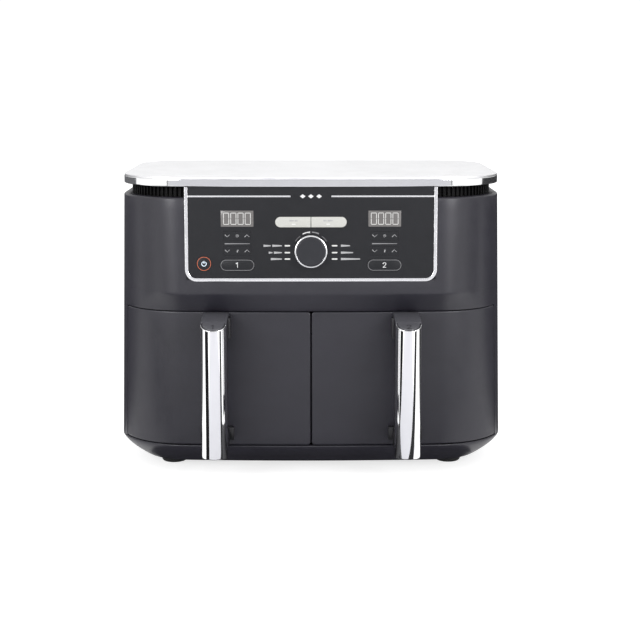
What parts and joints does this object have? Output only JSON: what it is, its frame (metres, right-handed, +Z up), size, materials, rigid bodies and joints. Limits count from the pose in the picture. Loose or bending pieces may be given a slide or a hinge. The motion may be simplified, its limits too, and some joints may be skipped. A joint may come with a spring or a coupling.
{
  "type": "two-drawer air fryer",
  "caption": "Countertop air fryer with side-by-side slide-out drawers, bright bar handles, a framed control panel with a dial, and a pale steel lid.",
  "frame": {"origin": "on the worktop under the middle of the whole object's box, handles and rear standoffs included", "axes": "+X to the right of someone facing the front, +Y towards the rear, +Z up; the front faces -Y"},
  "size_m": [0.415, 0.348, 0.315],
  "materials": {
    "housing": "fine matt moulded plastic, dark grey",
    "dark_plastic": "satin black",
    "panel": "satin film over black",
    "bright_frame": "satin bright metal",
    "bright_band": "polished edge of the lid",
    "lid_steel": "pale brushed steel",
    "handle_chrome": "mirror polish",
    "handle_cap": "matt moulded plastic, dark grey",
    "dial_face": "satin, spun face",
    "light_key": "satin pale grey",
    "display": "smoked window with a lit clock",
    "rubber": "matt",
    "silicone": "matt silicone",
    "sheet_steel": "rolled sheet",
    "heater_tube": "heat-darkened tube",
    "fan_blades": "pressed sheet",
    "motor_case": "plated steel and lacquered core",
    "circuit_board": "solder mask",
    "pan_coating": "non-stick coating, satin",
    "plate_coating": "non-stick coating, satin",
    "fastener": "zinc plated"
  },
  "bodies": {
    "housing": {"base_pan": "housing", "feet": "rubber", "outer_housing": "housing", "rear_cover": "housing", "exhaust_grille": "dark_plastic", "cord_gland": "rubber", "top_lid": "lid_steel", "lid_trim": "bright_band", "vent_ring": "dark_plastic", "panel_bezel": "bright_frame", "control_panel": "panel", "displays": "display", "control_board": "circuit_board", "dial_encoder": "dark_plastic", "power_board": "circuit_board", "motor_deck": "sheet_steel", "front_frame": "dark_plastic", "left_liner": "sheet_steel", "right_liner": "sheet_steel", "left_heater": "heater_tube", "right_heater": "heater_tube", "left_guard": "sheet_steel", "right_guard": "sheet_steel", "left_motor": "motor_case", "right_motor": "motor_case", "thermal_sensors": "fastener", "drawer_switches": "dark_plastic", "housing_screws": "fastener"},
    "left_drawer": {"left_drawer_front": "housing", "left_drawer_pan": "pan_coating", "left_handle_core": "dark_plastic", "left_handle_cover": "handle_chrome", "left_handle_cap": "handle_cap"},
    "left_plate": {"left_crisper_plate": "plate_coating", "left_plate_feet": "silicone"},
    "left_rotor": {"left_motor_shaft": "fastener", "left_hot_fan": "fan_blades", "left_cooling_fan": "dark_plastic"},
    "right_drawer": {"right_drawer_front": "housing", "right_drawer_pan": "pan_coating", "right_handle_core": "dark_plastic", "right_handle_cover": "handle_chrome", "right_handle_cap": "handle_cap"},
    "right_plate": {"right_crisper_plate": "plate_coating", "right_plate_feet": "silicone"},
    "right_rotor": {"right_motor_shaft": "fastener", "right_hot_fan": "fan_blades", "right_cooling_fan": "dark_plastic"},
    "dial_push": {"dial_shaft": "fastener"},
    "dial": {"dial_knob": "dial_face", "dial_ring": "bright_frame"},
    "power_button": {"power_key": "panel"},
    "zone_1_button": {"zone_1_key": "panel"},
    "zone_2_button": {"zone_2_key": "panel"},
    "sync_button": {"sync_key": "light_key"},
    "match_button": {"match_key": "light_key"},
    "left_time_rocker": {"left_time_key": "panel"},
    "left_temp_rocker": {"left_temp_key": "panel"},
    "right_time_rocker": {"right_time_key": "panel"},
    "right_temp_rocker": {"right_temp_key": "panel"}
  },
  "joints": [
    {"name": "left_drawer_slide", "type": "slide", "parent": "housing", "child": "left_drawer", "axis": [0, -1, 0], "range_m": [0, 0.215]},
    {"name": "left_plate_lift", "type": "slide", "parent": "left_drawer", "child": "left_plate", "axis": [0, 0, 1], "range_m": [0, 0.08]},
    {"name": "left_rotor_spin", "type": "hinge", "parent": "housing", "child": "left_rotor", "pos_m": [-0.096, 0.03, 0.2], "axis": [0, 0, 1], "continuous": true},
    {"name": "right_drawer_slide", "type": "slide", "parent": "housing", "child": "right_drawer", "axis": [0, -1, 0], "range_m": [0, 0.215]},
    {"name": "right_plate_lift", "type": "slide", "parent": "right_drawer", "child": "right_plate", "axis": [0, 0, 1], "range_m": [0, 0.08]},
    {"name": "right_rotor_spin", "type": "hinge", "parent": "housing", "child": "right_rotor", "pos_m": [0.096, 0.03, 0.2], "axis": [0, 0, 1], "continuous": true},
    {"name": "dial_press", "type": "slide", "parent": "housing", "child": "dial_push", "axis": [0, 0.9992, -0.0401], "range_m": [0, 0.0009], "stiffness_N_per_m": 700, "springref_m": -0.0015},
    {"name": "dial_turn", "type": "hinge", "parent": "dial_push", "child": "dial", "pos_m": [0, -0.11921, 0.2391], "axis": [0, -0.9992, 0.0401], "continuous": true},
    {"name": "power_button_press", "type": "slide", "parent": "housing", "child": "power_button", "axis": [0, 0.9992, -0.0401], "range_m": [0, 0.0006], "stiffness_N_per_m": 800, "springref_m": -0.0009},
    {"name": "zone_1_button_press", "type": "slide", "parent": "housing", "child": "zone_1_button", "axis": [0, 0.9992, -0.0401], "range_m": [0, 0.0006], "stiffness_N_per_m": 800, "springref_m": -0.0009},
    {"name": "zone_2_button_press", "type": "slide", "parent": "housing", "child": "zone_2_button", "axis": [0, 0.9992, -0.0401], "range_m": [0, 0.0006], "stiffness_N_per_m": 800, "springref_m": -0.0009},
    {"name": "sync_button_press", "type": "slide", "parent": "housing", "child": "sync_button", "axis": [0, 0.9992, -0.0401], "range_m": [0, 0.0006], "stiffness_N_per_m": 800, "springref_m": -0.0009},
    {"name": "match_button_press", "type": "slide", "parent": "housing", "child": "match_button", "axis": [0, 0.9992, -0.0401], "range_m": [0, 0.0006], "stiffness_N_per_m": 800, "springref_m": -0.0009},
    {"name": "left_time_rocker_tilt", "type": "hinge", "parent": "housing", "child": "left_time_rocker", "pos_m": [-0.0758, -0.11618, 0.2548], "axis": [0, 0.0401, 0.9992], "range_deg": [-2, 2], "stiffness_Nm_per_rad": 0.15},
    {"name": "left_temp_rocker_tilt", "type": "hinge", "parent": "housing", "child": "left_temp_rocker", "pos_m": [-0.0758, -0.1168, 0.2393], "axis": [0, 0.0401, 0.9992], "range_deg": [-2, 2], "stiffness_Nm_per_rad": 0.15},
    {"name": "right_time_rocker_tilt", "type": "hinge", "parent": "housing", "child": "right_time_rocker", "pos_m": [0.0758, -0.11618, 0.2548], "axis": [0, 0.0401, 0.9992], "range_deg": [-2, 2], "stiffness_Nm_per_rad": 0.15},
    {"name": "right_temp_rocker_tilt", "type": "hinge", "parent": "housing", "child": "right_temp_rocker", "pos_m": [0.0758, -0.1168, 0.2393], "axis": [0, 0.0401, 0.9992], "range_deg": [-2, 2], "stiffness_Nm_per_rad": 0.15}
  ]
}
